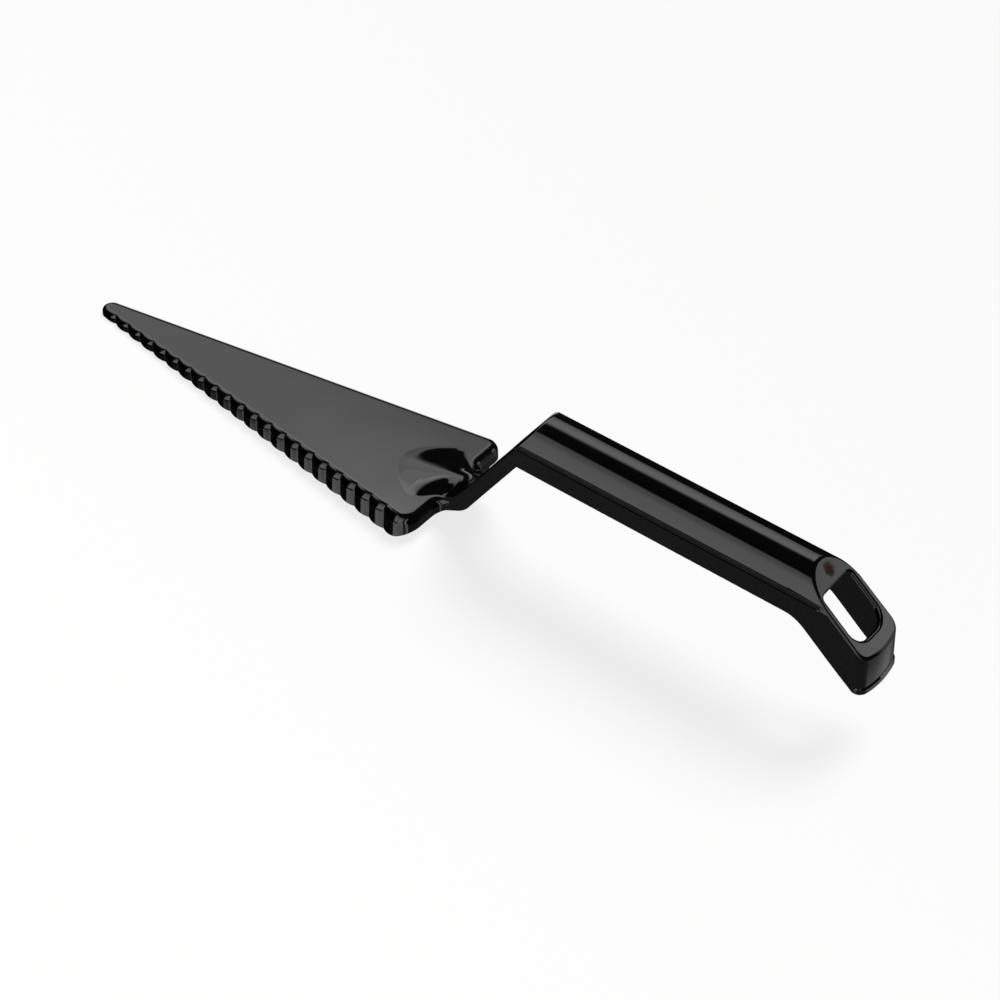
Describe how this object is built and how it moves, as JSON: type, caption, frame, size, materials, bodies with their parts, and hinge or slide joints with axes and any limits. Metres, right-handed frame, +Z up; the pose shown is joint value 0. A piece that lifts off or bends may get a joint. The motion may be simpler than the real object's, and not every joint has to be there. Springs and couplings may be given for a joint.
{
  "type": "cake server",
  "caption": "Moulded cake server with a tapering blade scalloped along one edge, a cranked neck and a hollow half-round handle that ends in a sloping plate with a hanging hole.",
  "frame": {"origin": "on the table, under the middle of the server's bounding box", "axes": "+X from the blade towards the handle's end, +Y towards the plain edge of the blade, +Z up from the table"},
  "size_m": [0.255, 0.0398, 0.0458],
  "materials": {
    "gloss_black": "black polystyrene as it leaves a polished mould: high gloss, faint flow waves and fine handling scratches"
  },
  "bodies": {
    "root": {"blade_plate": "gloss_black", "serrated_skirt": "gloss_black", "plain_skirt": "gloss_black", "nose_skirt": "gloss_black", "heel_skirt_left": "gloss_black", "heel_skirt_right": "gloss_black", "neck_gusset": "gloss_black", "neck_web": "gloss_black", "handle_crown": "gloss_black", "handle_side_left": "gloss_black", "handle_side_right": "gloss_black", "hang_plate": "gloss_black", "end_wall": "gloss_black", "end_lip": "gloss_black"}
  },
  "joints": []
}
